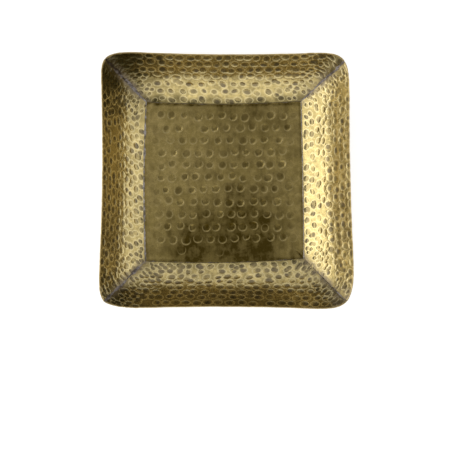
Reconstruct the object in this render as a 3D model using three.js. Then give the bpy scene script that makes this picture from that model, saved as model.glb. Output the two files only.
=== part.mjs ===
// A square hammered brass tray: a flat floor panel and four dished wall panels of one gauge of sheet,
// brazed to each other along the floor's four edges and up the four mitred corners.
// Millimetres, +Z up, the front towards -Y. The origin is under the middle of the tray, on the surface
// that it stands on.
import * as THREE from "three";

// ---- Driving dimensions ----

const SHEET = 1.2; // thickness of every panel

// The corners: where each mitre starts on the floor's plan, where it ends at the inner rim, and how high.
const CORNERS = {
  front_left: { floor: [-98, -96], rim: [-145, -143.5], height: 49.3 },
  front_right: { floor: [94, -93], rim: [143, -143], height: 48.5 },
  back_right: { floor: [90.5, 97.5], rim: [140.5, 141.5], height: 49.3 },
  back_left: { floor: [-97, 96.5], rim: [-143.5, 145], height: 52.8 },
};

// The sides in turn, anticlockwise from above. foldBow is how far the floor's edge bows outwards at its
// middle. reach is how far out the inner rim line is and height how high it is: near its start, at its
// middle and near its end. turn is how late and how tightly the rim turns into its first and last corners.
const SIDES = {
  front: {
    from: "front_left",
    to: "front_right",
    out: [0, -1],
    foldBow: 3.5,
    reach: [151.3, 149, 152],
    height: [49, 50, 47.8],
    turn: [9, 15],
  },
  right: {
    from: "front_right",
    to: "back_right",
    out: [1, 0],
    foldBow: 0.5,
    reach: [151.5, 146.8, 145.8],
    height: [50.8, 50, 49.5],
    turn: [10, 13],
  },
  back: {
    from: "back_right",
    to: "back_left",
    out: [0, 1],
    foldBow: -3,
    reach: [151.8, 149.8, 152.5],
    height: [49.2, 49.2, 52.3],
    turn: [18, 15],
  },
  left: {
    from: "back_left",
    to: "front_left",
    out: [-1, 0],
    foldBow: 2.5,
    reach: [147.8, 147, 151],
    height: [53, 50, 49.5],
    turn: [22, 14],
  },
};
const SHOULDER = 0.8; // how far along a half side, from its middle, the first and last values hold

// A wall's section: an arc from the first slope at the floor to the second, then a straight lip.
const SLOPE_AT_FLOOR = THREE.MathUtils.degToRad(22);
const SLOPE_AT_LIP = THREE.MathUtils.degToRad(53);
const DISH_RADIUS = 85;
const ARC_LENGTH = DISH_RADIUS * (SLOPE_AT_LIP - SLOPE_AT_FLOOR);
const LIP_LENGTH = 28;
const SECTION_LENGTH = ARC_LENGTH + LIP_LENGTH;

// The brazed seams. A bead has a crowned head over both panels' inner faces and a root between their edges.
const GAP = 0.3; // between a bead and each panel
const PANEL_SETBACK = 0.9; // from the seam's line to the edge of each panel beside it
const ROOT_HALF_WIDTH = PANEL_SETBACK - GAP;
const FLOOR_BEAD = { halfWidth: 1.6, crown: 0.55 };
const CORNER_BEAD = { halfWidth: 2.8, crown: 0.7 };
// A corner bead starts narrow, between the ends of the floor beads: length and taper are shares of the mitre.
const CORNER_BEAD_FOOT = { halfWidth: 1.3, length: 0.04, taper: 0.1 };
const CORNER_BEAD_SPAN = [0.003, 0.99]; // share of the mitre, from floor to rim, that its bead fills
const FLOOR_BEAD_END = FLOOR_BEAD.halfWidth + 0.5; // from the floor's corner to the end of a floor bead

// Facets.
const WALL_STEPS = { along: 26, up: 11 };
const FLOOR_EDGE_STEPS = 12;
const BEAD_STEPS = 14;

// ---- Shape of the dish ----

// The section as the share of its run and of its rise, at a share of its length.
function section(share) {
  const at = (length) => {
    const slope = SLOPE_AT_FLOOR + Math.min(length, ARC_LENGTH) / DISH_RADIUS;
    const lip = Math.max(0, length - ARC_LENGTH);
    return [
      DISH_RADIUS * (Math.sin(slope) - Math.sin(SLOPE_AT_FLOOR)) + lip * Math.cos(SLOPE_AT_LIP),
      DISH_RADIUS * (Math.cos(SLOPE_AT_FLOOR) - Math.cos(slope)) + lip * Math.sin(SLOPE_AT_LIP),
    ];
  };
  const [run, rise] = at(share * SECTION_LENGTH);
  const [fullRun, fullRise] = at(SECTION_LENGTH);
  return { run: run / fullRun, rise: rise / fullRise };
}

const lerp = THREE.MathUtils.lerp;

// The floor's edge on one side, in plan: t is -1 at the side's first corner and 1 at its last.
function foldLine(side, t) {
  const a = CORNERS[side.from].floor;
  const b = CORNERS[side.to].floor;
  const bow = side.foldBow * (1 - t * t);
  return new THREE.Vector2(
    lerp(a[0], b[0], (t + 1) / 2) + side.out[0] * bow,
    lerp(a[1], b[1], (t + 1) / 2) + side.out[1] * bow,
  );
}

// A quantity along the rim: a curve through its values at both shoulders and the middle, which leaves
// for the corner's own value where the rim turns.
function alongRim(side, t, values, cornerValue) {
  const smooth = (u) => {
    const x = u / SHOULDER;
    const [start, middle, end] = values;
    return middle + ((end - start) / 2) * x + ((start + end) / 2 - middle) * x * x;
  };
  const [corner, turn] = t < 0 ? [side.from, side.turn[0]] : [side.to, side.turn[1]];
  return smooth(t) + (cornerValue(CORNERS[corner]) - smooth(Math.sign(t))) * Math.abs(t) ** turn;
}

// The inner rim line on one side, in plan.
function rimLine(side, t) {
  const out = new THREE.Vector2(...side.out);
  const along = new THREE.Vector2(-out.y, out.x);
  const across = (direction) => (corner) => direction.dot(new THREE.Vector2(...corner.rim));
  const reach = alongRim(side, t, side.reach, across(out));
  const from = across(along)(CORNERS[side.from]);
  const to = across(along)(CORNERS[side.to]);
  return out.multiplyScalar(reach).addScaledVector(along, lerp(from, to, (t + 1) / 2));
}

// A point of a wall's inner face: t runs along the side, s up the wall from the floor's edge to the rim.
function wallPoint(side, t, s) {
  const { run, rise } = section(s);
  const rimHeight = alongRim(side, t, side.height, (corner) => corner.height);
  const plan = foldLine(side, t).lerp(rimLine(side, t), run);
  return new THREE.Vector3(plan.x, plan.y, SHEET + (rimHeight - SHEET) * rise);
}

// Unit vectors at a point of a wall's inner face: along the side, up the wall, and off it into the tray.
function wallDirections(side, t, s) {
  const step = 1e-3;
  const difference = (dt, ds) => {
    const ahead = wallPoint(side, Math.min(1, t + dt), Math.min(1, s + ds));
    return ahead.sub(wallPoint(side, Math.max(-1, t - dt), Math.max(0, s - ds))).normalize();
  };
  const along = difference(step, 0);
  const up = difference(0, step);
  const normal = new THREE.Vector3().crossVectors(up, along).normalize();
  return { along, up, normal };
}

// Half of a wall's length at the share s of its section.
function halfLength(side, s) {
  return wallPoint(side, -1, s).distanceTo(wallPoint(side, 1, s)) / 2;
}

// ---- Solids ----

function geometryOf(points, index) {
  const geometry = new THREE.BufferGeometry().setFromPoints(points);
  geometry.setIndex(index);
  geometry.computeVertexNormals();
  return geometry;
}

// A closed sheet between a face and its back, each given at shares u and v of the sheet's two directions.
function sheetGeometry(face, back, uSteps, vSteps) {
  const points = [];
  for (const surface of [face, back]) {
    for (let i = 0; i <= uSteps; i++) {
      for (let j = 0; j <= vSteps; j++) points.push(surface(i / uSteps, j / vSteps));
    }
  }
  const onFace = (i, j) => i * (vSteps + 1) + j;
  const onBack = (i, j) => onFace(i, j) + points.length / 2;
  const index = [];
  const quad = (a, b, c, d) => index.push(a, b, c, a, c, d);
  for (let i = 0; i < uSteps; i++) {
    for (let j = 0; j < vSteps; j++) {
      quad(onFace(i, j), onFace(i, j + 1), onFace(i + 1, j + 1), onFace(i + 1, j));
      quad(onBack(i, j), onBack(i + 1, j), onBack(i + 1, j + 1), onBack(i, j + 1));
    }
    quad(onFace(i, 0), onFace(i + 1, 0), onBack(i + 1, 0), onBack(i, 0));
    quad(onBack(i, vSteps), onBack(i + 1, vSteps), onFace(i + 1, vSteps), onFace(i, vSteps));
  }
  for (let j = 0; j < vSteps; j++) {
    quad(onBack(0, j), onBack(0, j + 1), onFace(0, j + 1), onFace(0, j));
    quad(onFace(uSteps, j), onFace(uSteps, j + 1), onBack(uSteps, j + 1), onBack(uSteps, j));
  }
  return geometryOf(points, index);
}

// One wall panel, cut back from the seams at its foot and at both mitres.
function wallGeometry(side) {
  const place = (u, v) => {
    const s = lerp(PANEL_SETBACK / SECTION_LENGTH, 1, v);
    // Steps crowd towards both ends, where the rim turns.
    const t = Math.sin((u - 0.5) * Math.PI) * (1 - PANEL_SETBACK / halfLength(side, s));
    return [side, t, s];
  };
  const face = (u, v) => wallPoint(...place(u, v));
  const back = (u, v) => face(u, v).addScaledVector(wallDirections(...place(u, v)).normal, -SHEET);
  return sheetGeometry(face, back, WALL_STEPS.along, WALL_STEPS.up);
}

// The floor panel, cut back from the seams on all four sides.
function floorGeometry() {
  const outline = new THREE.Shape();
  const halfWidth = Math.abs(CORNERS.front_left.floor[0]);
  const cutBack = (point) => point.multiplyScalar(1 - PANEL_SETBACK / halfWidth);
  for (const side of Object.values(SIDES)) {
    const from = cutBack(foldLine(side, -1));
    const middle = cutBack(foldLine(side, 0));
    const to = cutBack(foldLine(side, 1));
    // A quadratic curve passes halfway between its control point and its chord.
    const control = middle.multiplyScalar(2).addScaledVector(from, -0.5).addScaledVector(to, -0.5);
    if (side === SIDES.front) outline.moveTo(from.x, from.y);
    outline.quadraticCurveTo(control.x, control.y, to.x, to.y);
  }
  const options = { depth: SHEET, bevelEnabled: false, curveSegments: FLOOR_EDGE_STEPS };
  return new THREE.ExtrudeGeometry(outline, options);
}

// A bead swept along a seam. at(share) gives, for that share of the seam, the point on its line, how wide
// and how crowned the head is, and a function for each of the two panels beside it: the point so far into
// the panel from the seam and so far off its inner face.
function beadGeometry(at) {
  const points = [];
  for (let i = 0; i <= BEAD_STEPS; i++) {
    const { line, halfWidth, crown, panels } = at(i / BEAD_STEPS);
    const [flank, otherFlank] = panels.map((panel) => [
      panel(halfWidth, GAP),
      panel(ROOT_HALF_WIDTH, GAP),
      panel(ROOT_HALF_WIDTH, -SHEET),
    ]);
    const normals = panels.map((panel) => panel(0, 1).sub(panel(0, 0)));
    const middle = normals[0].clone().add(normals[1]).normalize();
    const head = flank[0].clone().add(otherFlank[0]).multiplyScalar(0.5).addScaledVector(middle, crown);
    const ridge = line.clone().addScaledVector(middle, -SHEET / middle.dot(normals[0]));
    points.push(head, ...flank, ridge, ...otherFlank.reverse());
  }
  const ring = 8;
  const index = [];
  for (let i = 0; i < BEAD_STEPS; i++) {
    for (let k = 0; k < ring; k++) {
      const a = i * ring + k;
      const b = i * ring + ((k + 1) % ring);
      index.push(a, b, b + ring, a, b + ring, a + ring);
    }
  }
  const end = [0, 1, 2, 0, 2, 6, 0, 6, 7, 2, 3, 4, 2, 4, 6, 6, 4, 5];
  const last = BEAD_STEPS * ring;
  for (let k = 0; k < end.length; k += 3) {
    index.push(end[k], end[k + 2], end[k + 1]);
    index.push(last + end[k], last + end[k + 1], last + end[k + 2]);
  }
  return geometryOf(points, index);
}

function floorBeadGeometry(side) {
  const reach = 1 - FLOOR_BEAD_END / halfLength(side, 0);
  return beadGeometry((share) => {
    const t = lerp(-reach, reach, share);
    const line = wallPoint(side, t, 0);
    const { along, up, normal } = wallDirections(side, t, 0);
    const floorNormal = new THREE.Vector3(0, 0, 1);
    const intoFloor = floorNormal.clone().cross(along).normalize();
    const on = (direction, face) => (into, off) =>
      line.clone().addScaledVector(direction, into).addScaledVector(face, off);
    return { line, panels: [on(up, normal), on(intoFloor, floorNormal)], ...FLOOR_BEAD };
  });
}

function cornerBeadGeometry(before, after) {
  return beadGeometry((share) => {
    const s = lerp(...CORNER_BEAD_SPAN, share);
    const on = (side, end) => (into, off) => {
      const t = end * (1 - into / halfLength(side, s));
      return wallPoint(side, t, s).addScaledVector(wallDirections(side, t, s).normal, off);
    };
    const widening = THREE.MathUtils.smoothstep(s - CORNER_BEAD_FOOT.length, 0, CORNER_BEAD_FOOT.taper);
    const halfWidth = lerp(CORNER_BEAD_FOOT.halfWidth, CORNER_BEAD.halfWidth, widening);
    const line = wallPoint(before, 1, s);
    return { line, panels: [on(before, 1), on(after, -1)], halfWidth, crown: CORNER_BEAD.crown };
  });
}

// ---- Materials and assembly ----

const metal = (color, roughness, metalness) =>
  new THREE.MeshStandardMaterial({ color, roughness, metalness });
const brass = metal(0xa8904f, 0.42, 1);
const agedBrass = metal(0x7d6f48, 0.5, 1);
const filler = metal(0x6c6560, 0.55, 0.8);

const tray = new THREE.Group();

function add(name, geometry, material) {
  const mesh = new THREE.Mesh(geometry, material);
  mesh.name = name;
  tray.add(mesh);
}

add("floor_panel", floorGeometry(), agedBrass);
for (const [name, side] of Object.entries(SIDES)) {
  add(`wall_panel_${name}`, wallGeometry(side), brass);
  add(`floor_seam_${name}`, floorBeadGeometry(side), filler);
}
const sides = Object.values(SIDES);
sides.forEach((side, i) => {
  add(`corner_seam_${side.to}`, cornerBeadGeometry(side, sides[(i + 1) % sides.length]), filler);
});

// The tray stands over the origin.
const box = new THREE.Box3().setFromObject(tray);
const middle = box.getCenter(new THREE.Vector3());
tray.position.set(-middle.x, -middle.y, -box.min.z);

export default tray;
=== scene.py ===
"""Looks of a square hammered brass tray: five hammered panels and eight brazed seams.

Each piece is a closed, finely displaced mesh that stands in for one solid of the CAD.
"""

import math

import bpy
import numpy as np
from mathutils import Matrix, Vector


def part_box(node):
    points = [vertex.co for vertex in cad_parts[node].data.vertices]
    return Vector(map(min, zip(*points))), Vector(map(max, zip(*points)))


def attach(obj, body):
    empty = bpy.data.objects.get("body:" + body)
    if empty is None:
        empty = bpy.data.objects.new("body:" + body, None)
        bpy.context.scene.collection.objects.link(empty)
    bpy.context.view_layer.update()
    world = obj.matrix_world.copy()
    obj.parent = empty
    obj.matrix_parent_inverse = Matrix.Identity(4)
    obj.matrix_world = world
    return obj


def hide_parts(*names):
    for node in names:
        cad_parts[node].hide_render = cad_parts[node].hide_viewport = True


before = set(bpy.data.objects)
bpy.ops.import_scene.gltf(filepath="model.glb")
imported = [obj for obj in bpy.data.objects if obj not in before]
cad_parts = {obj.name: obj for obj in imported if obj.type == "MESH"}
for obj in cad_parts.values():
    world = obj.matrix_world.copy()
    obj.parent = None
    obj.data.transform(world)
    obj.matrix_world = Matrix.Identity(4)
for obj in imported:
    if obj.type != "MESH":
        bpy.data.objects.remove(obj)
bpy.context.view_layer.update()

MM = 0.001

# ---- The tray's plan and section, in millimetres, as the CAD has them ----

SHEET = 1.2
CORNERS = {
    "front_left": {"floor": (-98, -96), "rim": (-145, -143.5), "height": 49.3},
    "front_right": {"floor": (94, -93), "rim": (143, -143), "height": 48.5},
    "back_right": {"floor": (90.5, 97.5), "rim": (140.5, 141.5), "height": 49.3},
    "back_left": {"floor": (-97, 96.5), "rim": (-143.5, 145), "height": 52.8},
}

# fold_bow is how far a side's edge of the floor bows outwards. reach and height are how far out and how high
# the rim is, at its first shoulder, its middle and its last shoulder. turn is how sharply the rim turns from
# its shoulders to the corner at either end.
SIDES = {
    "front": {
        "ends": ("front_left", "front_right"),
        "out": (0, -1),
        "fold_bow": 3.5,
        "reach": (151.3, 149, 152),
        "height": (49, 50, 47.8),
        "turn": (9, 15),
    },
    "right": {
        "ends": ("front_right", "back_right"),
        "out": (1, 0),
        "fold_bow": 0.5,
        "reach": (151.5, 146.8, 145.8),
        "height": (50.8, 50, 49.5),
        "turn": (10, 13),
    },
    "back": {
        "ends": ("back_right", "back_left"),
        "out": (0, 1),
        "fold_bow": -3,
        "reach": (151.8, 149.8, 152.5),
        "height": (49.2, 49.2, 52.3),
        "turn": (18, 15),
    },
    "left": {
        "ends": ("back_left", "front_left"),
        "out": (-1, 0),
        "fold_bow": 2.5,
        "reach": (147.8, 147, 151),
        "height": (53, 50, 49.5),
        "turn": (22, 14),
    },
}
SHOULDER = 0.8  # a shoulder's place, as a share of the way from the rim's middle to its corner

# A wall's section is an arc, which is the dish, and then the straight lip.
SLOPE_AT_FLOOR = math.radians(22)
SLOPE_AT_LIP = math.radians(53)
DISH_RADIUS = 85
LIP_LENGTH = 28
ARC_LENGTH = DISH_RADIUS * (SLOPE_AT_LIP - SLOPE_AT_FLOOR)
SECTION_LENGTH = ARC_LENGTH + LIP_LENGTH


def section(share):
    """The share of the wall's run and of its rise at a share of its section's length."""

    def at(length):
        slope = SLOPE_AT_FLOOR + np.minimum(length, ARC_LENGTH) / DISH_RADIUS
        lip = np.maximum(0, length - ARC_LENGTH)
        run = DISH_RADIUS * (np.sin(slope) - math.sin(SLOPE_AT_FLOOR)) + lip * math.cos(SLOPE_AT_LIP)
        rise = DISH_RADIUS * (math.cos(SLOPE_AT_FLOOR) - np.cos(slope)) + lip * math.sin(SLOPE_AT_LIP)
        return run, rise

    run, rise = at(share * SECTION_LENGTH)
    full_run, full_rise = at(SECTION_LENGTH)
    return run / full_run, rise / full_rise


def fold_line(side, t):
    """The bowed edge of the floor along a side, on the plan."""
    first, last = (np.array(CORNERS[end]["floor"], float) for end in side["ends"])
    t = np.asarray(t, float)[..., None]
    return first + (last - first) * (t + 1) / 2 + np.array(side["out"]) * side["fold_bow"] * (1 - t * t)


def along_rim(side, t, values, first_corner, last_corner):
    """A smooth run through the rim's shoulders and middle, which ends at the corners' own values."""
    start, middle, end = values

    def smooth(u):
        x = u / SHOULDER
        return middle + (end - start) / 2 * x + ((start + end) / 2 - middle) * x * x

    corner = np.where(t < 0, first_corner, last_corner)
    turn = np.where(t < 0, side["turn"][0], side["turn"][1])
    return smooth(t) + (corner - smooth(np.sign(t))) * np.abs(t) ** turn


def rim_line(side, t):
    """The rim along a side, on the plan."""
    t = np.asarray(t, float)
    out = np.array(side["out"], float)
    along = np.array((-out[1], out[0]))
    first, last = (np.array(CORNERS[end]["rim"], float) for end in side["ends"])
    reach = along_rim(side, t, side["reach"], out @ first, out @ last)
    position = along @ first + (along @ last - along @ first) * (t + 1) / 2
    return reach[..., None] * out + position[..., None] * along


def wall_point(side, t, s):
    """A point of a wall's inner face: t from -1 to 1 along the side, s from the floor's edge to the rim."""
    t, s = np.broadcast_arrays(np.asarray(t, float), np.asarray(s, float))
    run, rise = section(s)
    first, last = (CORNERS[end]["height"] for end in side["ends"])
    rim_height = along_rim(side, t, side["height"], first, last)
    fold = fold_line(side, t)
    plan = fold + (rim_line(side, t) - fold) * run[..., None]
    return np.concatenate([plan, (SHEET + (rim_height - SHEET) * rise)[..., None]], -1)


def unit(v):
    return v / np.linalg.norm(v, axis=-1, keepdims=True)


def wall_directions(side, t, s):
    """Unit vectors along the side, up the wall, and off its inner face."""
    step = 1e-3
    t, s = np.broadcast_arrays(np.asarray(t, float), np.asarray(s, float))
    ahead = wall_point(side, np.minimum(1, t + step), s)
    along = unit(ahead - wall_point(side, np.maximum(-1, t - step), s))
    above = wall_point(side, t, np.minimum(1, s + step))
    up = unit(above - wall_point(side, t, np.maximum(0, s - step)))
    return along, up, unit(np.cross(up, along))


def half_length(side, s):
    return np.linalg.norm(wall_point(side, -1, s) - wall_point(side, 1, s), axis=-1) / 2


def cad_shift():
    """How far the CAD moved the tray to stand it over the origin."""
    edge = np.concatenate([fold_line(side, np.linspace(-1, 1, 65)) for side in SIDES.values()])
    low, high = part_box("floor_panel")
    centre = (np.array(low) + np.array(high))[:2] / 2 / MM
    return np.append(centre - (edge.min(0) + edge.max(0)) / 2, 0)


SHIFT = cad_shift()


def smoothstep(low, high, x):
    x = np.clip((x - low) / (high - low), 0, 1)
    return x * x * (3 - 2 * x)


def between(low, high, share):
    return low * (1 - share) + high * share


# The front edge of the floor stands a little off the table at its middle. This arch dies away towards both
# ends of the edge, towards the middle of the floor, and up the wall.
HALF_FLOOR = 97
ARCH_HEIGHT = 1.3
ARCH_DEPTH = 45
ARCH_FADE_HEIGHT = 50


def settle(points):
    """Millimetres on the plan to the place of the finished tray, in metres."""
    x, y, z = np.moveaxis(points, -1, 0)
    near_front = smoothstep(HALF_FLOOR - ARCH_DEPTH, HALF_FLOOR, -y)
    arch = ARCH_HEIGHT * np.clip(1 - (x / HALF_FLOOR) ** 2, 0, 1) ** 2 * near_front
    lifted = np.stack([x, y, z + arch * np.clip(1 - z / ARCH_FADE_HEIGHT, 0, 1)], -1)
    return (lifted + SHIFT) * MM


# ---- Uneven surfaces ----


def waves(points, wavelength, seed, count=18):
    """Smooth noise of unit spread: a seeded sum of plane waves around one wavelength."""
    rng = np.random.default_rng(seed)
    total = np.zeros(points.shape[:-1])
    for _ in range(count):
        direction = unit(rng.normal(size=points.shape[-1]))
        length = wavelength * rng.uniform(0.7, 1.6)
        total += np.cos(points @ direction * (2 * math.pi / length) + rng.uniform(0, 2 * math.pi))
    return total / math.sqrt(count / 2)


class Marks:
    """Hammer marks on a flattened panel: elliptical hollows, each with a thin crest thrown up round it.

    A higher steepness gives flatter bottoms and steeper sides. A crest of full_crest is rubbed brightest and
    carries the brightest painted highlight.
    """

    CREST_AT = 1.05  # the crest's middle line, as a share of the mark's radius
    # On the floor this also strengthens the crest's painted highlight on the deeper, lower side: a painted
    # crescent of light.
    TILTED_CREST = 1.7  # how much the tilt strengthens the crest on the deeper side

    def __init__(self, steepness, crest_width, full_crest):
        self.steepness = steepness
        self.crest_width = crest_width
        self.full_crest = full_crest
        self.items = []

    def add(self, place, radii, turn, depth, crest, stain, stain_size=1.0, stain_place=(0, 0), tilt=(0, 0)):
        """A mark, with the patina that stains it: how dark, and its size and place as shares of the radii.

        The tilt says which side of the hollow is the deeper one.
        """
        self.items.append((place, radii, turn, depth, crest, stain, stain_size, stain_place, tilt))

    def press(self, flat):
        """At each point: the height over the plain face, how stained it is, and how near a crest."""
        height, crests, inside, stained, ring = (np.zeros(len(flat)) for _ in range(5))
        for place, radii, turn, depth, crest, stain, stain_size, stain_place, tilt in self.items:
            offset = flat - place
            near = np.flatnonzero(np.abs(offset).max(1) < 1.6 * max(radii))
            if not len(near):
                continue
            cosine, sine = math.cos(turn), math.sin(turn)
            u = (offset[near, 0] * cosine + offset[near, 1] * sine) / radii[0]
            v = (offset[near, 1] * cosine - offset[near, 0] * sine) / radii[1]
            r = np.sqrt(u * u + v * v)
            deeper = u * tilt[0] + v * tilt[1]
            within = np.clip(1 - r * r, 0, 1)
            inside[near] = np.maximum(inside[near], within)
            pressed = depth * (1 + deeper) * np.clip(1 - r**self.steepness, 0, 1)
            height[near] = np.minimum(height[near], -pressed)
            from_stain = np.hypot(u - stain_place[0], v - stain_place[1]) / stain_size
            dark = stain * (1 - smoothstep(0.55, 1.1, from_stain)) * np.minimum(1, 5 * within)
            stained[near] = np.maximum(stained[near], dark)
            around = np.exp(-(((r - self.CREST_AT) * min(radii) / self.crest_width) ** 2))
            around *= np.clip(1 + self.TILTED_CREST * deeper, 0, 2)
            crests[near] = np.maximum(crests[near], crest * around)
            ring[near] = np.maximum(ring[near], around * crest / self.full_crest)
        clear = 1 - smoothstep(0.1, 0.45, inside)
        return height + crests * clear, stained, ring * clear


def past_fold(share):
    """0 on the part of a wall that lies back, 1 on its steep lip."""
    return smoothstep(0.36, 0.5, share)


STAIN_LEVELS = (0.25, 0.6, 0.9, 1.1)  # faint, light, dark and black patina in a wall's marks
WALL_MARK_DEPTH = 0.46
WALL_CREST = (0.07, 0.1)  # below the fold and on the lip
TOUCHING_SHARE = 0.45  # the radius of marks that touch, as a share of their spacing
CROWDED_LEAN = 0.75  # how far the marks at the corners lean towards the mitre, in radians


def add_wall_mark(marks, rng, style, place, spacing, corner, lip):
    """One mark on a wall. Marks on the lip take their size from their spacing, so that neighbours touch."""
    size = style["radius"] * rng.uniform(0.85, 1.15) * (1 - 0.28 * corner)
    stretch = 1.12 + 0.12 * rng.random()
    touching = lip * (1 - 0.8 * corner)
    along = between(size * stretch, TOUCHING_SHARE * spacing[0] * rng.uniform(0.8, 1.1), touching)
    up = between(size / stretch, TOUCHING_SHARE * spacing[1] * rng.uniform(0.82, 1.12), touching)
    lean = corner * math.copysign(CROWDED_LEAN, place[0]) * rng.uniform(0.3, 1.2)
    turn = rng.normal(style["turn"], 0.3) * (1 - corner) * (1 - 0.7 * touching) - lean
    depth = WALL_MARK_DEPTH * rng.uniform(0.6, 1.25) * (1 - 0.5 * lip)
    stain = rng.choice(STAIN_LEVELS, p=style["stains"])
    marks.add(
        place,
        (along, up),
        turn,
        depth,
        crest=between(*WALL_CREST, lip),
        stain=between(stain, rng.uniform(0.35, 1.1), lip),
        stain_size=rng.uniform(0.8, 1) - 0.14 * touching,
        stain_place=rng.normal(0, 0.16 + 0.08 * lip, 2),
    )


def wall_marks(side, style):
    """Rows of marks up a wall, which touch on the lip, and are small and crowded at the corners."""
    rng = np.random.default_rng(style["seed"])
    marks = Marks(steepness=2.2, crest_width=0.6, full_crest=WALL_CREST[1])
    row = 0
    height = 5
    while height < SECTION_LENGTH + 2:
        share = height / SECTION_LENGTH
        reach = float(half_length(side, min(1, share)))
        lip = float(past_fold(share))
        pitch, row_pitch = (between(*style[key], lip) for key in ("pitch", "rows"))
        position = -reach + pitch * (0.3 if row % 2 else 0.8)
        while position < reach:
            corner = float(1 - smoothstep(12, 42, reach - abs(position)))
            step = pitch * (1 - 0.4 * corner) * rng.uniform(0.84, 1.16)
            # A second blow beside the first is the rule at the corners, and the exception elsewhere.
            companion = 0.9 * corner + 0.16 * (1 - corner) * (1 - lip)
            for second in (False, True):
                if rng.random() > (companion if second else 0.96):
                    continue
                place = np.array((position, height)) + rng.normal(0, 0.7 + 0.7 * corner + 0.4 * lip, 2)
                if second:
                    aside = 1 if corner > 0.3 else rng.uniform(-0.8, 0.8)
                    place += np.array((0.5 * step, 0.5 * row_pitch)) * aside
                add_wall_mark(marks, rng, style, place, (pitch, row_pitch), corner, lip)
            position += step
        height += row_pitch * rng.uniform(0.94, 1.06)
        row += 1
    return marks


FLOOR_MARK_ROWS = 12
FLOOR_MARK_COLUMNS = 13
FLOOR_MARK_PITCH = (14.7, 14.9)
FIRST_FLOOR_MARK = (-82, 80)
FLOOR_MARK_RADIUS = 4.6
FLOOR_MARK_DEPTH = 0.5
FLOOR_CREST = 0.025
FLOOR_MARK_FIELD = {"left": -96, "right": 90, "front": -96, "back": 94}
FLOOR_MARK_MARGIN = 6  # inside that field
MITRE_GROOVE = (89.5, -88.5)
PLAIN_BY_GROOVE = (87, -86)
PLAIN_RADIUS = 9


def floor_marks(seed):
    """A planisher's grid: even rows, a little out of line, fainter towards the sides and the front."""
    rng = np.random.default_rng(seed)
    marks = Marks(steepness=3.0, crest_width=0.65, full_crest=FLOOR_CREST)
    field = FLOOR_MARK_FIELD
    for row in range(FLOOR_MARK_ROWS):
        start = FIRST_FLOOR_MARK[0] + rng.uniform(-5, 5)
        lean = rng.normal(0, 0.012)
        # The row by the front edge is worn away in places.
        missing = 0.55 if row == FLOOR_MARK_ROWS - 1 else 0.012
        for column in range(FLOOR_MARK_COLUMNS):
            x = start + column * FLOOR_MARK_PITCH[0] + rng.normal(0, 1.2)
            y = FIRST_FLOOR_MARK[1] - row * FLOOR_MARK_PITCH[1] + lean * x + rng.normal(0, 0.9)
            to_sides_or_front = min(x - field["left"], field["right"] - x, y - field["front"])
            in_margin = min(to_sides_or_front, field["back"] - y) < FLOOR_MARK_MARGIN
            by_groove = math.hypot(x - PLAIN_BY_GROOVE[0], y - PLAIN_BY_GROOVE[1]) < PLAIN_RADIUS
            if in_margin or by_groove or rng.random() < missing:
                continue
            size = FLOOR_MARK_RADIUS * rng.uniform(0.86, 1.1)
            stretch = rng.uniform(0.94, 1.06)
            depth = FLOOR_MARK_DEPTH * rng.choice((0.35, 0.75, 1, 1.2), p=(0.12, 0.25, 0.4, 0.23))
            strength = between(0.3, 1, smoothstep(9, 19, to_sides_or_front))
            marks.add(
                np.array((x, y)),
                (size * stretch, size / stretch),
                rng.uniform(-0.5, 0.5),
                depth * strength,
                crest=FLOOR_CREST * strength,
                stain=rng.choice((0.3, 0.6, 0.85, 1.1), p=(0.2, 0.3, 0.3, 0.2)) * between(0.3, 1, strength),
                stain_size=rng.uniform(0.9, 1.1),
                # The patina sits a little above the middle of each hollow, so it also paints shade on the
                # hollow's upper side.
                stain_place=(rng.normal(-0.04, 0.1), rng.normal(0.1, 0.1)),
                tilt=(rng.normal(0.2, 0.2), rng.normal(-0.5, 0.12)),
            )
    # The front right mitre runs on a little way into the floor, as a sharp groove.
    groove_radii = (8.5, 1.5)
    marks.add(np.array(MITRE_GROOVE), groove_radii, math.radians(-45), 0.8, crest=0.008, stain=1.8)
    return marks


# ---- Meshes ----


def stitch(fine, coarse):
    """Triangles between two rows of vertices that run the same way, the second with fewer."""
    triangles = []
    i = j = 0
    fine_end, coarse_end = len(fine) - 1, len(coarse) - 1
    while i < fine_end or j < coarse_end:
        if j == coarse_end or (i < fine_end and (i + 1) / fine_end <= (j + 1) / coarse_end):
            triangles.append((fine[i], fine[i + 1], coarse[j]))
            i += 1
        else:
            triangles.append((fine[i], coarse[j + 1], coarse[j]))
            j += 1
    return triangles


def grid_quads(index):
    """Quads over a grid of vertex numbers, facing along rows cross columns."""
    return np.stack([index[:-1, :-1], index[1:, :-1], index[1:, 1:], index[:-1, 1:]], -1).reshape(-1, 4)


def make_object(name, points, quads, triangles, attributes, material):
    mesh = bpy.data.meshes.new(name)
    faces = [tuple(q) for q in quads.tolist()] + [tuple(t) for t in triangles]
    mesh.from_pydata(settle(points).tolist(), [], faces)
    mesh.validate()
    for key, values in attributes.items():
        layer = mesh.attributes.new(key, "FLOAT", "POINT")
        layer.data.foreach_set("value", np.asarray(values, np.float32))
    mesh.shade_smooth()
    mesh.materials.append(material)
    obj = bpy.data.objects.new(name, mesh)
    bpy.context.scene.collection.objects.link(obj)
    return obj


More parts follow.
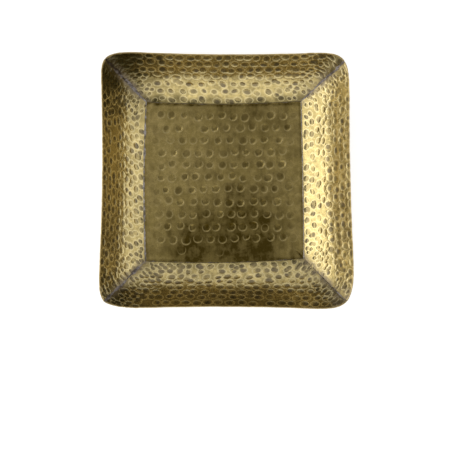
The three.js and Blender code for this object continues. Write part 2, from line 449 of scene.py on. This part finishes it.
def sheet_object(name, face, back, attributes, back_attributes, material):
    """A closed sheet between a fine grid of points and a coarser one behind it."""
    rows, columns = face.shape[:2]
    back_rows, back_columns = back.shape[:2]
    front_index = np.arange(rows * columns).reshape(rows, columns)
    back_index = rows * columns + np.arange(back_rows * back_columns).reshape(back_rows, back_columns)
    quads = np.concatenate([grid_quads(front_index), grid_quads(back_index)[:, ::-1]])
    triangles = []
    for fine, coarse, flip in (
        (front_index[0], back_index[0], True),
        (front_index[-1], back_index[-1], False),
        (front_index[:, 0], back_index[:, 0], False),
        (front_index[:, -1], back_index[:, -1], True),
    ):
        strip = stitch(fine.tolist(), coarse.tolist())
        triangles += [t[::-1] for t in strip] if flip else strip
    points = np.concatenate([face.reshape(-1, 3), back.reshape(-1, 3)])
    joined = {
        key: np.concatenate([np.ravel(attributes[key]), np.ravel(back_attributes[key])]) for key in attributes
    }
    return make_object(name, points, quads, triangles, joined, material)


WALL_GRID = 0.6
WALL_LENGTH = 250  # between a wall's lengths along the floor and along the rim
FLOOR_GRID = 0.66
FLOOR_REACH = 96  # from the floor's middle to its edges, about
SETBACK = 0.35  # a panel's edge to the seam's line, under the seam's filler
RIM_ROLL = 6  # steps round the sheet's softened rim

# pitch and rows are the marks' spacings along and up the wall, below its fold and on its lip. radius and turn
# are the marks' size and lean. stains are the shares of marks below the fold at each of STAIN_LEVELS. worn,
# dull and satin are how rubbed, how darkened by tarnishing and how much rougher the lip is. bulge is how far
# the wall swells inwards at its fold, and the foot shade is how much painted shade darkens the wall along the
# floor.
WALL_STYLES = {
    "front": {
        "pitch": (12.6, 12.0),
        "rows": (7.8, 10.4),
        "radius": 4.0,
        "turn": -0.25,
        "stains": (0.02, 0.15, 0.4, 0.43),
        "worn": 0.3,
        "dull": 0.32,
        "satin": 0.0,
        "bulge": 0.0,
        "foot": 0.5,
        "seed": 11,
    },
    "right": {
        "pitch": (13.4, 11.2),
        "rows": (8.2, 11.4),
        "radius": 3.5,
        "turn": 0.1,
        "stains": (0.6, 0.25, 0.1, 0.05),
        "worn": 1.1,
        "dull": 0.0,
        "satin": 0.1,
        "bulge": 0.5,
        "foot": 0.0,
        "seed": 12,
    },
    "back": {
        "pitch": (13.2, 11.4),
        "rows": (10.6, 10.6),
        "radius": 3.9,
        "turn": 0.4,
        "stains": (0.06, 0.3, 0.36, 0.28),
        "worn": 0.4,
        "dull": 0.05,
        "satin": 0.0,
        "bulge": 0.0,
        "foot": 0.8,
        "seed": 13,
    },
    "left": {
        "pitch": (13.0, 11.0),
        "rows": (6.8, 9.2),
        "radius": 3.7,
        "turn": -0.6,
        "stains": (0.15, 0.4, 0.32, 0.13),
        "worn": 0.42,
        "dull": 0.12,
        "satin": 0.0,
        "bulge": 0.0,
        "foot": 0.15,
        "seed": 14,
    },
}


def wall_surface(name, t, s):
    """The inner face of a wall: its plain shape and normal, its relief, and what its looks depend on."""
    side = SIDES[name]
    style = WALL_STYLES[name]
    _, _, normal = wall_directions(side, t, s)
    plain = wall_point(side, t, s)
    flat = np.stack([t * half_length(side, s), s * SECTION_LENGTH], -1)
    pressed = wall_marks(side, style).press(flat.reshape(-1, 2))
    height, recess, crest = (values.reshape(t.shape) for values in pressed)
    to_corner = half_length(side, s) - np.abs(flat[..., 0])
    corner = 1 - smoothstep(10, 45, to_corner)
    # Planishing leaves broad hollows, and the shrunk corners stay creased.
    uneven = 0.2 * waves(flat, 30, style["seed"] + 50) + 0.05 * waves(flat, 8, style["seed"] + 60)
    creases = 1 - np.abs(waves(flat * (1, 0.35), 5.5, style["seed"] + 70))
    uneven = uneven + 0.1 * corner * smoothstep(0.3, 0.9, s) * np.clip(creases, -1, 1)
    uneven = uneven * smoothstep(0, 16, flat[..., 1]) * (1 - 0.6 * past_fold(s))
    at_edges = smoothstep(0, 3, to_corner) * smoothstep(0, 2.5, flat[..., 1])
    uneven = uneven + style["bulge"] * smoothstep(0.1, 0.42, s) * (1 - smoothstep(0.42, 0.66, s))
    # Painted shade along the wall's foot, where it meets the floor, with a ragged upper edge.
    foot = style["foot"] * (1 - smoothstep(1, 13, flat[..., 1] + 1.5 * waves(flat, 18, style["seed"] + 80)))
    return plain, normal, height * at_edges + uneven, recess * at_edges, crest * at_edges, to_corner, foot


# How strong the stain at each corner of the rim is, and how far it reaches: tarnish, and the film of smoke.
CORNER_TARNISH = {
    "front_left": (0.5, 28),
    "front_right": (0.14, 24),
    "back_right": (0.08, 18),
    "back_left": (1.15, 64),
}
CORNER_SMOKE = {
    "front_left": (0.1, 18),
    "front_right": (0.85, 18),
    "back_right": (0.5, 9),
}


def corner_stain(points, stains):
    """How stained the points are by the corners near them."""
    stain = np.zeros(points.shape[:-1])
    for name, (strength, radius) in stains.items():
        distance = np.linalg.norm(points[..., :2] - np.array(CORNERS[name]["rim"]), axis=-1)
        stain = np.maximum(stain, strength * np.exp(-((distance / radius) ** 3)))
    return stain


def floor_tone_and_edge_shade(plan, edge):
    """Darker along the middle and towards the front and right, with painted shade along the edges under the
    walls, widest and most ragged at the back. One corner is paler.
    """
    x, y = plan[..., 0], plan[..., 1]
    middle = 0.27 * np.exp(-(((x - 15) / 55) ** 2)) + 0.25 * smoothstep(-90, 60, x)
    front = 0.78 * smoothstep(-5, 80, -y) * np.exp(-(((x + 4) / 77) ** 4))
    front = front + 0.15 * smoothstep(20, 70, -y)
    back = 0.16 * smoothstep(45, 85, y) * np.exp(-(((x - 5) / 65) ** 2))
    ragged = 1 + 0.35 * waves(plan, 9, 95)
    # Painted shade: a dark band along the floor's edges, in the angle under the walls, wider and ragged along
    # the back edge.
    painted_edge_shade = 0.4 * (1 - smoothstep(0.5, 4.5, edge))
    painted_edge_shade = painted_edge_shade + 0.7 * ragged * (1 - smoothstep(1, 7, HALF_FLOOR - y))
    paler_corner = 0.26 * np.exp(-(((x - 78) / 32) ** 2) - ((y + 74) / 28) ** 2)
    return np.clip(middle + front + back + painted_edge_shade - paler_corner, 0, 1)


def wall_places(side):
    """Places t and s of the grid of points on a wall's inner face."""
    columns = int(WALL_LENGTH / WALL_GRID)
    rows = int(SECTION_LENGTH / WALL_GRID)
    s = np.linspace(SETBACK / SECTION_LENGTH, 1, rows + 1)[:, None]
    reach = 1 - SETBACK / half_length(side, s)
    across = np.linspace(-1, 1, columns + 1)[None, :]
    # Steps crowd a little towards both ends, where the rim turns.
    t = (0.35 * np.sin(across * math.pi / 2) + 0.65 * across) * reach
    return t, np.broadcast_to(s, t.shape)


def filed_rim(side, t, s, edge):
    """Rows of points round the sheet's cut edge, which is filed round, from the inner face to the outside."""
    _, up, normal = wall_directions(side, t, s)
    angles = np.linspace(0, math.pi, RIM_ROLL + 1)[1:]
    above = 0.75 * SHEET / 2
    behind = SHEET / 2
    return np.array([edge + up * above * math.sin(a) - normal * behind * (1 - math.cos(a)) for a in angles])


def wall_attributes(style, s, face, recess, crest, to_corner, foot):
    """What the material needs to know at each point of a wall's inner face."""
    upper = smoothstep(0.4, 0.62, s)
    near_corner = 1 - smoothstep(8, 45, to_corner)
    at_corner = corner_stain(face, CORNER_TARNISH)
    at_rim = 0.18 * smoothstep(0.6, 1, s)
    along_seam = 0.75 * (1 - smoothstep(0.5, 11, to_corner)) * (1 - 0.55 * smoothstep(0.6, 0.9, s))
    return {
        "recess": recess,
        "crest": crest * (1 - 0.65 * smoothstep(0.75, 1.1, at_corner)),
        "outside": np.zeros(s.shape),
        "tarnish_and_shade": at_corner + (style["dull"] + 0.3 * recess) * upper + at_rim + foot,
        "satin": style["satin"] * upper,
        "smoke": np.maximum(along_seam, corner_stain(face, CORNER_SMOKE)),
        "worn": 1 + (style["worn"] - 1) * upper - 0.35 * near_corner,
    }


def build_wall(name, material):
    """The hammered sheet of one wall, with its filed rim and its smoother outside."""
    side = SIDES[name]
    t, s = wall_places(side)
    rows, columns = t.shape[0] - 1, t.shape[1] - 1
    plain, normal, height, recess, crest, to_corner, foot = wall_surface(name, t, s)
    face = plain + normal * height[..., None]
    on_face = wall_attributes(WALL_STYLES[name], s, face, recess, crest, to_corner, foot)
    face = np.concatenate([face, filed_rim(side, t[-1], s[-1], face[-1])])
    attributes = {key: np.concatenate([a, np.repeat(a[-1:], RIM_ROLL, 0)]) for key, a in on_face.items()}
    rim = np.zeros(face.shape[:2])
    rim[rows - 2 :] = np.linspace(0.4, 1, RIM_ROLL + 3)[:, None] ** 0.5
    rim[-1] = 0.5
    attributes["rim"] = rim
    # The outside takes every second point of the inner face, and about half of its relief.
    pick_rows = np.linspace(rows, 0, rows // 2 + 1).round().astype(int)[::-1]
    pick_columns = np.linspace(0, columns, columns // 2 + 1).round().astype(int)
    inner = np.ix_(pick_rows, pick_columns)
    back = plain[inner] + normal[inner] * (0.55 * height[inner] - SHEET)[..., None]
    back[-1] = face[-1][pick_columns]
    back_attributes = {key: values[inner] for key, values in attributes.items()}
    back_attributes["outside"] = np.ones(back.shape[:2])
    back_attributes["rim"] = np.zeros(back.shape[:2])
    back_attributes["rim"][-1] = 0.5
    obj = sheet_object(f"hammered_wall_{name}", face, back, attributes, back_attributes, material)
    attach(obj, "root")
    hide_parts(f"wall_panel_{name}")
    return obj


def floor_plan(u, v):
    """A point of the floor at shares -1 to 1 across and up its plan, between its four bowed edges."""
    front = fold_line(SIDES["front"], u)
    back = fold_line(SIDES["back"], -u)
    left = fold_line(SIDES["left"], -v)
    right = fold_line(SIDES["right"], v)
    a = ((u + 1) / 2)[..., None]
    b = ((v + 1) / 2)[..., None]
    corner = {name: np.array(CORNERS[name]["floor"], float) for name in CORNERS}
    bilinear = (
        (1 - a) * (1 - b) * corner["front_left"]
        + a * (1 - b) * corner["front_right"]
        + (1 - a) * b * corner["back_left"]
        + a * b * corner["back_right"]
    )
    return (1 - b) * front + b * back + (1 - a) * left + a * right - bilinear


def build_floor(material):
    """The planished sheet of the floor."""
    steps = int(2 * FLOOR_REACH / FLOOR_GRID)
    reach = 1 - SETBACK / FLOOR_REACH
    line = np.linspace(-reach, reach, steps + 1)
    v, u = np.meshgrid(line, line, indexing="ij")
    plan = floor_plan(u, v)
    flat = plan.reshape(-1, 2)
    height, recess, crest = (a.reshape(u.shape) for a in floor_marks(5).press(flat))
    edge = (1 - np.maximum(np.abs(u), np.abs(v))) * FLOOR_REACH
    uneven = 0.16 * waves(plan, 60, 91) + 0.05 * waves(plan, 14, 92)
    height = (height + uneven) * smoothstep(0, 4, edge)
    face = np.concatenate([plan, (SHEET + height)[..., None]], -1)
    # The underside takes every third point, and half of the relief. Only its edges are down on the table.
    pick = np.linspace(0, steps, steps // 3 + 1).round().astype(int)
    inner = np.ix_(pick, pick)
    under = np.maximum(0, 0.3 + 0.5 * height[inner])
    under = under * smoothstep(0, 6, edge[inner])
    back = np.concatenate([plan[inner], under[..., None]], -1)
    attributes = {
        "recess": recess,
        "crest": crest,
        "outside": np.zeros(u.shape),
        "tarnish_and_shade": floor_tone_and_edge_shade(plan, edge),
        "satin": np.zeros(u.shape),
        "worn": np.full(u.shape, 0.5),
        "rim": np.zeros(u.shape),
    }
    back_attributes = {key: values[inner] for key, values in attributes.items()}
    back_attributes["outside"] = np.ones(under.shape)
    obj = sheet_object("hammered_floor", face, back, attributes, back_attributes, material)
    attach(obj, "root")
    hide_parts("floor_panel")
    return obj


def swept_object(name, rings, attributes, material):
    """A closed body from rings of points, one after another, with flat ends."""
    count, size = rings.shape[:2]
    index = np.arange(count * size).reshape(count, size)
    around = np.concatenate([index, index[:, :1]], 1)
    quads = grid_quads(around)
    triangles = []
    for k in range(1, size - 1):
        triangles.append((index[0, 0], index[0, k], index[0, k + 1]))
        triangles.append((index[-1, 0], index[-1, k + 1], index[-1, k]))
    return make_object(name, rings.reshape(-1, 3), quads, triangles, attributes, material)


HEAD_POINTS = 11  # across a seam's head
CORNER_BACK_WIDTH = 1.3  # how far a seam reaches behind each panel
FLOOR_BACK_WIDTH = 0.8
OFF_TABLE = 0.02  # no seam comes nearer to the table than this


def fillet_rings(line, panel_a, panel_b, lift, width, back_width):
    """Rings of a brazed seam. panel_a and panel_b give points so far into a panel and so far off its face."""
    profile = np.linspace(0, 1, HEAD_POINTS)
    tip_a, tip_b = panel_a(width, -0.12), panel_b(width, -0.12)
    middle = unit(panel_a(0, 1) - line + panel_b(0, 1) - line)
    control = line + middle * lift[:, None]
    head = [(1 - u) ** 2 * tip_a + 2 * u * (1 - u) * control + u * u * tip_b for u in profile]
    # Under its head the filler necks in between the panels, and widens again behind them.
    neck = 0.2
    outer_face = -SHEET
    under = [
        panel_b(width * 0.5, -0.5),
        panel_b(neck, -0.6),
        panel_b(back_width, outer_face + 0.15),
        panel_b(back_width * 0.6, outer_face - 0.12),
        line + middle * (outer_face - 0.35),
        panel_a(back_width * 0.6, outer_face - 0.12),
        panel_a(back_width, outer_face + 0.15),
        panel_a(neck, -0.6),
        panel_a(width * 0.5, -0.5),
    ]
    return np.stack(head + under, 1)


def seam_attributes(rings, soil):
    """Where a seam's head meets the panels, and how far the seam is darkened, by dirt and by painted shade:
    dull all over at the back.
    """
    count, size = rings.shape[:2]
    head = np.abs(np.linspace(-1, 1, HEAD_POINTS))
    edge = np.concatenate([head, np.ones(size - HEAD_POINTS)])
    behind = np.arange(size) >= HEAD_POINTS
    soiled_and_shaded = np.where(behind, 0.85, soil[:, None])
    return {"edge": np.broadcast_to(edge, (count, size)).ravel(), "soil": soiled_and_shaded.ravel()}


def build_corner_seam(corner, before, after, look, material):
    """The filler up one mitre, between the end of one wall and the start of the next."""
    first, last = SIDES[before], SIDES[after]
    steps = 110
    s = np.linspace(0.0, 0.992, steps)
    line = wall_point(first, 1.0, s)
    distance = s * SECTION_LENGTH

    def on(side, end):
        """Points off the wall that has this seam at that end of it."""

        def place(into, off):
            t = end * (1 - into / half_length(side, s))
            _, _, normal = wall_directions(side, t, s)
            return wall_point(side, t, s) + normal * off

        return place

    spots = distance[:, None]
    wobble = 0.14 * waves(spots, 20, look["seed"]) + 0.08 * waves(spots, 6, look["seed"] + 1)
    taper = smoothstep(-1, 9, distance) * (1 - 0.55 * smoothstep(0.8, 1.0, s))
    width = look["width"] * between(0.35, 1, taper) * (1 + wobble)
    lift = look["lift"] * between(0.4, 1, taper) * (1 + 1.5 * wobble)
    rings = fillet_rings(line, on(first, 1), on(last, -1), lift, width, CORNER_BACK_WIDTH)
    rings[..., 2] = np.maximum(rings[..., 2], OFF_TABLE)
    soil = between(*look["soil"], smoothstep(0.3, 0.9, s))
    obj = swept_object(f"brazed_corner_{corner}", rings, seam_attributes(rings, soil), material)
    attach(obj, "root")
    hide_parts(f"corner_seam_{corner}")
    return obj


def build_floor_seam(name, look, material):
    """The filler along one edge of the floor."""
    side = SIDES[name]
    steps = 200
    t = np.linspace(-1, 1, steps) * (1 - 0.8 / FLOOR_REACH)
    line = wall_point(side, t, 0.0)
    distance = t * FLOOR_REACH
    along, _, _ = wall_directions(side, t, 0.0)
    into_floor = unit(np.cross((0, 0, 1), along))

    def on_wall(into, off):
        s = into / SECTION_LENGTH
        _, _, normal = wall_directions(side, t, s)
        return wall_point(side, t, s) + normal * off

    def on_floor(into, off):
        offset = into_floor * np.broadcast_to(into, t.shape)[:, None]
        return line + offset + np.array((0, 0, 1.0)) * off

    spots = distance[:, None]
    wobble = 0.26 * waves(spots, 26, look["seed"]) + 0.14 * waves(spots, 7, look["seed"] + 1)
    width = look["width"] * (1 + wobble)
    lift = look["lift"] * (1 + wobble)
    rings = fillet_rings(line, on_wall, on_floor, lift, width, FLOOR_BACK_WIDTH)
    rings[..., 2] = np.maximum(rings[..., 2], OFF_TABLE)
    soil = np.full(steps, look["soil"])
    obj = swept_object(f"brazed_floor_edge_{name}", rings, seam_attributes(rings, soil), material)
    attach(obj, "root")
    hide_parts(f"floor_seam_{name}")
    return obj


# ---- Materials ----


class Shader:
    """A material's node tree, with a short way to add and join its nodes."""

    def __init__(self, name):
        self.material = bpy.data.materials.new(name)
        self.material.use_nodes = True
        self.tree = self.material.node_tree
        self.principled = self.tree.nodes["Principled BSDF"]

    def put(self, socket, value):
        if isinstance(value, bpy.types.NodeSocket):
            self.tree.links.new(value, socket)
        elif isinstance(value, tuple) and len(value) == 3 and len(socket.default_value) == 4:
            socket.default_value = (*value, 1)
        else:
            socket.default_value = value

    def node(self, kind, inputs=None, **settings):
        node = self.tree.nodes.new(kind)
        for key, value in settings.items():
            setattr(node, key, value)
        for key, value in (inputs or {}).items():
            self.put(node.inputs[key], value)
        return node

    def attribute(self, name):
        return self.node("ShaderNodeAttribute", attribute_name=name).outputs["Fac"]

    def noise(self, millimetres, detail=3.0, roughness=0.55, stretch=(1, 1, 1)):
        place = self.node("ShaderNodeTexCoord").outputs["Object"]
        if stretch != (1, 1, 1):
            place = self.node("ShaderNodeMapping", {"Vector": place, "Scale": stretch}).outputs["Vector"]
        scale = 1 / (millimetres * MM)
        inputs = {"Vector": place, "Scale": scale, "Detail": detail, "Roughness": roughness}
        return self.node("ShaderNodeTexNoise", inputs).outputs["Fac"]

    def math(self, operation, a, b=0.0, clamp=False):
        return self.node("ShaderNodeMath", {0: a, 1: b}, operation=operation, use_clamp=clamp).outputs[0]

    def ramp(self, value, low, high, out_low=0.0, out_high=1.0):
        inputs = {"Value": value, "From Min": low, "From Max": high, "To Min": out_low, "To Max": out_high}
        return self.node("ShaderNodeMapRange", inputs, interpolation_type="SMOOTHSTEP").outputs["Result"]

    def mix(self, share, a, b):
        node = self.node("ShaderNodeMix", data_type="RGBA")
        self.put(node.inputs["Factor"], share)
        self.put(node.inputs[6], a)
        self.put(node.inputs[7], b)
        return node.outputs[2]

    def blend(self, share, a, b):
        node = self.node("ShaderNodeMix", {"Factor": share}, data_type="FLOAT")
        self.put(node.inputs[2], a)
        self.put(node.inputs[3], b)
        return node.outputs[0]

    def bump(self, height, millimetres, normal=None):
        inputs = {"Height": height, "Distance": millimetres * MM, "Strength": 1.0}
        if normal is not None:
            inputs["Normal"] = normal
        return self.node("ShaderNodeBump", inputs).outputs["Normal"]

    def surface(self, **inputs):
        for key, value in inputs.items():
            self.put(self.principled.inputs[key.replace("_", " ")], value)


SMOKE_FILM = (0.225, 0.175, 0.11)
SMOKED_METALLIC = 0.45
DARK_BRONZE = (0.135, 0.108, 0.075)
BROWN_BRONZE = (0.2, 0.145, 0.07)
RUBBED_BRONZE = (0.42, 0.32, 0.14)
FILED_RIM = (0.68, 0.52, 0.24)


def tarnish_and_shade_share(shader, clouds, mottle, blotch, crest, blotches, streaks):
    """How far the brass is darkened, by its tarnishing and by the painted shade along the floor's edges and
    the walls' feet: in clouds, blotches and streaks, and less on the crests.
    """
    share = shader.math("ADD", shader.attribute("tarnish_and_shade"), shader.ramp(clouds, 0.35, 0.7, -0.16, 0.16))
    share = shader.math("ADD", share, shader.ramp(blotch, 0.36, 0.66, -0.7 * blotches, blotches))
    if streaks:
        streak = shader.noise(5, 3, 0.6, stretch=(1, 0.14, 1))
        share = shader.math("ADD", share, shader.ramp(streak, 0.35, 0.7, -streaks, streaks))
    share = shader.math("MULTIPLY", share, shader.ramp(mottle, 0.3, 0.7, 0.7, 1.05), clamp=True)
    return shader.math("MULTIPLY", share, shader.ramp(crest, 0.2, 0.9, 0.95, 0.4))


def smoke_share(shader):
    """How thick the smoky film of the brazing is, in patches."""
    sooty = shader.ramp(shader.noise(8, 4, 0.65), 0.35, 0.62, 0.2, 1.2)
    return shader.math("MULTIPLY", shader.attribute("smoke"), sooty, clamp=True)


def outside_bronze(shader, crest, blotch):
    """The brown patina of the outside, with the rings round the marks rubbed through it here and there."""
    bronze = shader.mix(shader.ramp(blotch, 0.4, 0.6), DARK_BRONZE, BROWN_BRONZE)
    rubbed_ring = shader.math("MULTIPLY", crest, shader.ramp(shader.noise(16, 3), 0.42, 0.62, 0.05, 0.6))
    return shader.mix(rubbed_ring, bronze, RUBBED_BRONZE)


def hammered_brass(name, look):
    """Aged brass: dark patina in the marks, worn bright on the crests round them with a painted highlight,
    smoky along the seams.
    """
    shader = Shader(name)
    recess = shader.attribute("recess")
    crest = shader.attribute("crest")
    rim = shader.attribute("rim")
    outside = shader.attribute("outside")
    clouds = shader.noise(38, 3)
    mottle = shader.noise(5, 4, 0.65)
    grain = shader.noise(1.1, 3, 0.6)
    blotch = shader.noise(13, 4, 0.6)

    rubbed = shader.math("ADD", shader.math("MULTIPLY", mottle, 0.7), shader.math("MULTIPLY", clouds, 0.5))
    rubbed = shader.ramp(rubbed, 0.46, 0.74, 0.1, 1)
    rubbed = shader.math("MULTIPLY", rubbed, shader.attribute("worn"), clamp=True)
    color = shader.mix(rubbed, look["aged"], look["bright"])

    dirt = shader.math("MULTIPLY", recess, shader.ramp(mottle, 0.3, 0.6, 0.7, 1))
    dirt = shader.math("MULTIPLY", dirt, look["recess_share"], clamp=True)
    dirt = shader.math("MULTIPLY", dirt, shader.ramp(outside, 0, 1, 1, 0.1))
    color = shader.mix(dirt, color, look["patina"])
    color = shader.mix(shader.ramp(grain, 0.52, 0.72, 0, 0.4), color, look["patina"])

    # The crests are rubbed bright, and their colour also carries a painted highlight, a thin ring of light
    # round each mark.
    crest_share = shader.ramp(mottle, 0.35, 0.6, 0.7 * look["crest_share"], look["crest_share"])
    color = shader.mix(shader.math("MULTIPLY", crest, crest_share), color, look["crest_wear_and_highlight_color"])
    # This dark colour is tarnish, and also painted shade along the floor's edges and along the walls' feet.
    tarnish_and_shade = tarnish_and_shade_share(shader, clouds, mottle, blotch, crest, look["blotches"], look["streaks"])
    color = shader.mix(tarnish_and_shade, color, look["tarnish_and_shade_color"])

    metallic = 1.0
    if look["smoky"]:
        smoke = smoke_share(shader)
        color = shader.mix(smoke, color, SMOKE_FILM)
        metallic = shader.blend(smoke, 1.0, SMOKED_METALLIC)
    bronze = outside_bronze(shader, crest, blotch)
    color = shader.mix(shader.math("MULTIPLY", outside, 0.9), color, bronze)
    color = shader.mix(shader.math("MULTIPLY", rim, 0.75), color, FILED_RIM)

    rough = shader.blend(dirt, look["roughness"], look["roughness"] + 0.12)
    rough = shader.math("ADD", rough, shader.ramp(mottle, 0.3, 0.7, -0.05, 0.07))
    rough = shader.math("ADD", rough, shader.math("MULTIPLY", outside, 0.24))
    rough = shader.math("ADD", rough, shader.attribute("satin"))
    rough = shader.blend(rim, rough, 0.3)
    normal = shader.bump(shader.noise(2.4, 4, 0.6), 0.09)
    normal = shader.bump(grain, 0.025, normal)
    shader.surface(Base_Color=color, Metallic=metallic, Roughness=rough, Normal=normal)
    return shader.material


def brazing_filler(name, filler, rubbed, soiled_and_shaded, roughness):
    """Brazing filler under a grey patina, rubbed to metal here and there, and darkened where it lies deep by
    dirt and by painted shade.
    """
    shader = Shader(name)
    edge = shader.attribute("edge")
    cloud = shader.noise(5, 4, 0.6)
    at_edge = shader.math("MULTIPLY", shader.ramp(edge, 0.6, 1.0), 0.2)
    rubbed_share = shader.math("MULTIPLY", shader.ramp(cloud, 0.45, 0.65), 0.75)
    rubbed_share = shader.math("ADD", rubbed_share, at_edge, clamp=True)
    color = shader.mix(rubbed_share, filler, rubbed)
    patches = shader.ramp(shader.noise(7, 3), 0.38, 0.66, -0.3, 0.5)
    soil = shader.math("ADD", shader.attribute("soil"), patches, clamp=True)
    color = shader.mix(soil, color, soiled_and_shaded)
    metallic = shader.blend(soil, 0.4, 0.9)
    normal = shader.bump(shader.noise(1.6, 4, 0.6), 0.08)
    shader.surface(Base_Color=color, Metallic=metallic, Roughness=roughness, Normal=normal)
    return shader.material


# ---- The stage, in metres: ground, lights and camera ----

CAMERA_HEIGHT = 2.6
CAMERA_PLACE = (-0.0015, -0.0528)
LENS = 171.5
GROUND_SIZE = 12.0
GROUND_DROP = 0.0003  # keeps the ground clear of the tray's underside


def build_camera():
    """A long lens straight over the tray."""
    data = bpy.data.cameras.new("camera")
    data.sensor_width = 36
    data.lens = LENS
    data.clip_end = 50
    camera = bpy.data.objects.new("camera", data)
    camera.location = (*CAMERA_PLACE, CAMERA_HEIGHT)
    bpy.context.scene.collection.objects.link(camera)
    bpy.context.scene.camera = camera


def build_ground():
    """A white table top that glows a little, so that it stays near white."""
    half = GROUND_SIZE / 2
    mesh = bpy.data.meshes.new("ground")
    corners = [(-half, -half, 0), (half, -half, 0), (half, half, 0), (-half, half, 0)]
    mesh.from_pydata(corners, [], [(0, 1, 2, 3)])
    shader = Shader("ground")
    shader.surface(
        Base_Color=(0.8, 0.8, 0.8),
        Roughness=0.9,
        Emission_Color=(1.0, 1.0, 1.0),
        Emission_Strength=0.68,
    )
    mesh.materials.append(shader.material)
    ground = bpy.data.objects.new("ground", mesh)
    ground.location.z = -GROUND_DROP
    bpy.context.scene.collection.objects.link(ground)


def softbox(name, azimuth, radiance, width=3.2, low=5, high=48, distance=2.2):
    """A soft box that faces the tray from one side. low and high are its edges' angles over the table."""
    bottom = distance * math.tan(math.radians(low))
    top = distance * math.tan(math.radians(high))
    data = bpy.data.lights.new(name, "AREA")
    data.shape = "RECTANGLE"
    data.size = width
    data.size_y = top - bottom
    data.energy = radiance * math.pi * data.size * data.size_y
    light = bpy.data.objects.new(name, data)
    angle = math.radians(azimuth)
    middle = Vector((distance * math.cos(angle), distance * math.sin(angle), (top + bottom) / 2))
    light.location = middle
    light.rotation_euler = (Vector((0, 0, middle.z)) - middle).to_track_quat("-Z", "Y").to_euler()
    light.visible_camera = False
    bpy.context.scene.collection.objects.link(light)


def build_world():
    """A dim room that is brighter straight overhead."""
    world = bpy.data.worlds.new("studio")
    world.use_nodes = True
    tree = world.node_tree
    direction = tree.nodes.new("ShaderNodeTexCoord").outputs["Generated"]
    separate = tree.nodes.new("ShaderNodeSeparateXYZ")
    tree.links.new(direction, separate.inputs[0])
    overhead = tree.nodes.new("ShaderNodeMapRange")
    overhead.interpolation_type = "SMOOTHSTEP"
    tree.links.new(separate.outputs["Z"], overhead.inputs["Value"])
    overhead.inputs["From Min"].default_value = math.cos(math.radians(28))
    overhead.inputs["From Max"].default_value = math.cos(math.radians(8))
    overhead.inputs["To Min"].default_value = 0.2
    overhead.inputs["To Max"].default_value = 0.42
    background = tree.nodes["Background"]
    background.inputs["Color"].default_value = (1, 1, 1, 1)
    tree.links.new(overhead.outputs["Result"], background.inputs["Strength"])
    bpy.context.scene.world = world


def build_lights():
    softbox("left_softbox", 180, 1.42, low=3, high=54)
    softbox("right_softbox", 0, 0.7, high=55)
    softbox("front_softbox", -90, 0.65, high=50)
    softbox("high_front_softbox", -90, 0.9, low=50, high=70)
    softbox("back_softbox", 90, 0.4, low=9, high=51)
    softbox("high_softbox", 112, 0.6, width=2.6, low=50, high=66)


# ---- Everything ----

WALL_BRASS_LOOK = {
    "crest_wear_and_highlight_color": (1.0, 0.85, 0.47),
    "crest_share": 1.0,
    "bright": (0.93, 0.735, 0.31),
    "aged": (0.42, 0.33, 0.135),
    "patina": (0.175, 0.142, 0.105),
    "tarnish_and_shade_color": (0.056, 0.045, 0.013),
    "recess_share": 0.78,
    "roughness": 0.2,
    "blotches": 0.2,
    "streaks": 0,
    "smoky": True,
}
FLOOR_BRASS_LOOK = {
    "crest_wear_and_highlight_color": (0.82, 0.67, 0.34),
    "crest_share": 0.27,
    "bright": (0.74, 0.57, 0.23),
    "aged": (0.42, 0.315, 0.1),
    "patina": (0.1, 0.071, 0.021),
    "tarnish_and_shade_color": (0.07, 0.044, 0.003),
    "recess_share": 0.6,
    "roughness": 0.26,
    "blotches": 0.24,
    "streaks": 0.09,
    "smoky": False,
}
wall_brass = hammered_brass("hammered_wall_brass", WALL_BRASS_LOOK)
floor_brass = hammered_brass("hammered_floor_brass", FLOOR_BRASS_LOOK)
corner_filler = brazing_filler(
    "corner_filler",
    filler=(0.29, 0.25, 0.235),
    rubbed=(0.48, 0.44, 0.41),
    soiled_and_shaded=(0.05, 0.035, 0.02),
    roughness=0.45,
)
floor_filler = brazing_filler(
    "floor_filler",
    filler=(0.45, 0.405, 0.375),
    rubbed=(0.68, 0.62, 0.57),
    soiled_and_shaded=(0.12, 0.09, 0.04),
    roughness=0.42,
)

build_floor(floor_brass)
side_names = list(SIDES)
for side_name in side_names:
    build_wall(side_name, wall_brass)

# Along the front and back edges the darkening of the filler is mostly painted shadow: a dark line in the
# angle where the wall meets the floor.
FLOOR_SEAM_LOOKS = {
    "front": {"width": 1.0, "lift": 0.1, "soil": 1.1, "seed": 31},
    "right": {"width": 0.65, "lift": 0.2, "soil": 0.1, "seed": 33},
    "back": {"width": 1.0, "lift": 0.1, "soil": 1.2, "seed": 35},
    "left": {"width": 1.3, "lift": 0.25, "soil": 0.25, "seed": 37},
}
for side_name, look in FLOOR_SEAM_LOOKS.items():
    build_floor_seam(side_name, look, floor_filler)

CORNER_SEAM_LOOKS = {
    "front_right": {"width": 0.9, "lift": 0.05, "soil": (0.85, 0.35), "seed": 41},
    "back_right": {"width": 1.6, "lift": 0.3, "soil": (0.1, 0.25), "seed": 43},
    "back_left": {"width": 2.2, "lift": 0.3, "soil": (0.25, 1.1), "seed": 45},
    "front_left": {"width": 1.8, "lift": 0.3, "soil": (0.15, 0.3), "seed": 47},
}
for i, side_name in enumerate(side_names):
    following = side_names[(i + 1) % len(side_names)]
    corner_name = SIDES[side_name]["ends"][1]
    build_corner_seam(corner_name, side_name, following, CORNER_SEAM_LOOKS[corner_name], corner_filler)

build_ground()
build_lights()
build_world()
build_camera()
bpy.context.scene.view_settings.view_transform = "Standard"
